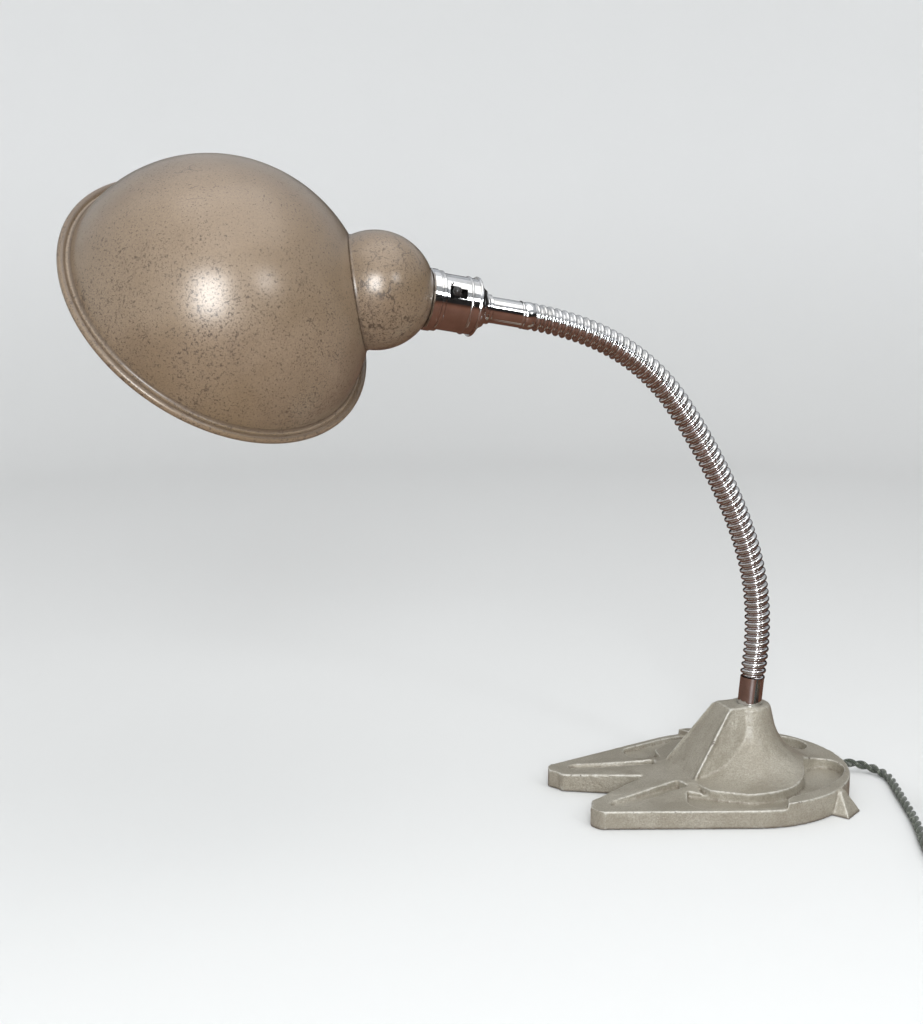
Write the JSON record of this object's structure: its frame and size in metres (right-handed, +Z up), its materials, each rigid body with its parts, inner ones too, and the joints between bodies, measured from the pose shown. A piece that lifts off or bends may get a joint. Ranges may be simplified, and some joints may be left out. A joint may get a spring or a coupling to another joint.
{
  "type": "gooseneck examination lamp",
  "caption": "Free-standing gooseneck examination lamp: hemispherical swivelling shade on a flexible metal neck, forked cast base, twisted flex and plug.",
  "frame": {"origin": "on the resting plane of the cast base, below the middle of the hub", "axes": "+Z up; +X to the rear, where the flex leaves the base; -X forward, along the two legs and towards the shade; +Y to the base's left seen from the rear"},
  "size_m": [0.5817, 0.3452, 0.4161],
  "materials": {
    "base_paint": "hammered grey-beige stove enamel over cast iron, chipped at the edges",
    "shade_paint": "satin brown-beige enamel with dark flecks and fine cracks",
    "chrome": "bright chrome plate on brass and steel",
    "hose_chrome": "bright chrome plate on wound steel strip",
    "brass": "plain turned brass",
    "steel": "zinc-plated steel",
    "bakelite": "black moulded thermoset, low gloss",
    "bulb_glass": "clear thin glass",
    "bulb_cap_metal": "plain aluminium",
    "flex_fabric": "twisted two-core flex in dark green braided cotton with pale flecks",
    "rubber": "black rubber",
    "plug_plastic": "black moulded plug"
  },
  "bodies": {
    "base": {"base_casting": "base_paint", "lower_ferrule": "chrome", "hub_nipple": "brass", "hub_washer": "steel", "hub_locknut": "brass", "wire_clamp": "steel", "clamp_screws": "steel", "cord_bush": "rubber", "flex_in_base": "flex_fabric", "flex_cord": "flex_fabric", "flex_coil": "flex_fabric", "flex_tail": "flex_fabric", "plug_cover": "plug_plastic", "plug_base": "plug_plastic", "plug_pins": "brass", "plug_screw": "steel"},
    "neck_1": {"neck_link_1": "hose_chrome", "neck_flex_1": "flex_fabric"},
    "neck_2": {"neck_link_2": "hose_chrome", "neck_flex_2": "flex_fabric"},
    "neck_3": {"neck_link_3": "hose_chrome", "neck_flex_3": "flex_fabric"},
    "neck_4": {"neck_link_4": "hose_chrome", "neck_flex_4": "flex_fabric"},
    "neck_5": {"neck_link_5": "hose_chrome", "neck_flex_5": "flex_fabric"},
    "neck_6": {"neck_link_6": "hose_chrome", "neck_flex_6": "flex_fabric"},
    "neck_7": {"neck_link_7": "hose_chrome", "neck_flex_7": "flex_fabric"},
    "neck_8": {"neck_link_8": "hose_chrome", "neck_flex_8": "flex_fabric"},
    "head": {"upper_ferrule": "chrome", "flex_in_head": "flex_fabric", "terminal_screws": "brass", "lampholder_cap": "chrome", "cap_ring": "chrome", "lampholder_body": "chrome", "lampholder_barrel": "chrome", "shade_ring_outer": "chrome", "shade_ring_inner": "chrome", "contact_insulator": "bakelite", "plunger_spring_left": "steel", "plunger_spring_right": "steel", "switch_pivot_pin": "steel", "bulb_glass": "bulb_glass", "bulb_cap": "bulb_cap_metal", "bulb_pins": "brass", "bulb_contacts": "steel", "bulb_stem": "bulb_glass", "bulb_filament": "steel"},
    "plunger_left": {"contact_plunger_left": "brass"},
    "plunger_right": {"contact_plunger_right": "brass"},
    "switch": {"switch_lever": "bakelite"},
    "shade": {"main_shade": "shade_paint", "shade_neck_dome": "shade_paint", "shade_seam_ring": "shade_paint"}
  },
  "joints": [
    {"name": "neck_bend_1", "type": "hinge", "parent": "base", "child": "neck_1", "pos_m": [0.00186, 0, 0.07952], "axis": [0, -1, 0], "range_deg": [-18, 9]},
    {"name": "neck_sway_2", "type": "hinge", "parent": "neck_1", "child": "neck_2", "pos_m": [0.00353, 0, 0.11956], "axis": [0.998, 0, 0.0628], "range_deg": [-15, 15]},
    {"name": "neck_bend_3", "type": "hinge", "parent": "neck_2", "child": "neck_3", "pos_m": [-0.00373, 0, 0.15895], "axis": [0, -1, 0], "range_deg": [-18, 9]},
    {"name": "neck_sway_4", "type": "hinge", "parent": "neck_3", "child": "neck_4", "pos_m": [-0.01862, 0, 0.19619], "axis": [0.8965, 0, 0.4431], "range_deg": [-15, 15]},
    {"name": "neck_bend_5", "type": "hinge", "parent": "neck_4", "child": "neck_5", "pos_m": [-0.03805, 0, 0.23131], "axis": [0, -1, 0], "range_deg": [-18, 9]},
    {"name": "neck_sway_6", "type": "hinge", "parent": "neck_5", "child": "neck_6", "pos_m": [-0.06076, 0, 0.26441], "axis": [0.7955, 0, 0.606], "range_deg": [-15, 15]},
    {"name": "neck_bend_7", "type": "hinge", "parent": "neck_6", "child": "neck_7", "pos_m": [-0.0895, 0, 0.29222], "axis": [0, -1, 0], "range_deg": [-18, 9]},
    {"name": "neck_sway_8", "type": "hinge", "parent": "neck_7", "child": "neck_8", "pos_m": [-0.125, 0, 0.3107], "axis": [0.3355, 0, 0.9421], "range_deg": [-15, 15]},
    {"name": "neck_bend_9", "type": "hinge", "parent": "neck_8", "child": "head", "pos_m": [-0.16381, 0, 0.3208], "axis": [0, -1, 0], "range_deg": [-18, 9]},
    {"name": "shade_swivel", "type": "hinge", "parent": "head", "child": "shade", "pos_m": [-0.22228, 0, 0.33069], "axis": [-0.986, 0, 0.1668], "continuous": true},
    {"name": "switch_toggle", "type": "hinge", "parent": "head", "child": "switch", "pos_m": [-0.21294, -0.00974, 0.3331], "axis": [0.1546, 0.3746, 0.9142], "range_deg": [0, 26]},
    {"name": "plunger_left_press", "type": "slide", "parent": "head", "child": "plunger_left", "axis": [0.986, 0, -0.1668], "range_m": [0, 0.0015], "stiffness_N_per_m": 1500, "springref_m": -0.0015, "deforming": ["plunger_spring_left"]},
    {"name": "plunger_right_press", "type": "slide", "parent": "head", "child": "plunger_right", "axis": [0.986, 0, -0.1668], "range_m": [0, 0.0015], "stiffness_N_per_m": 1500, "springref_m": -0.0015, "deforming": ["plunger_spring_right"]}
  ],
  "couplings": [
    {"joint": "plunger_right_press", "follows": "plunger_left_press", "ratio": 1}
  ]
}
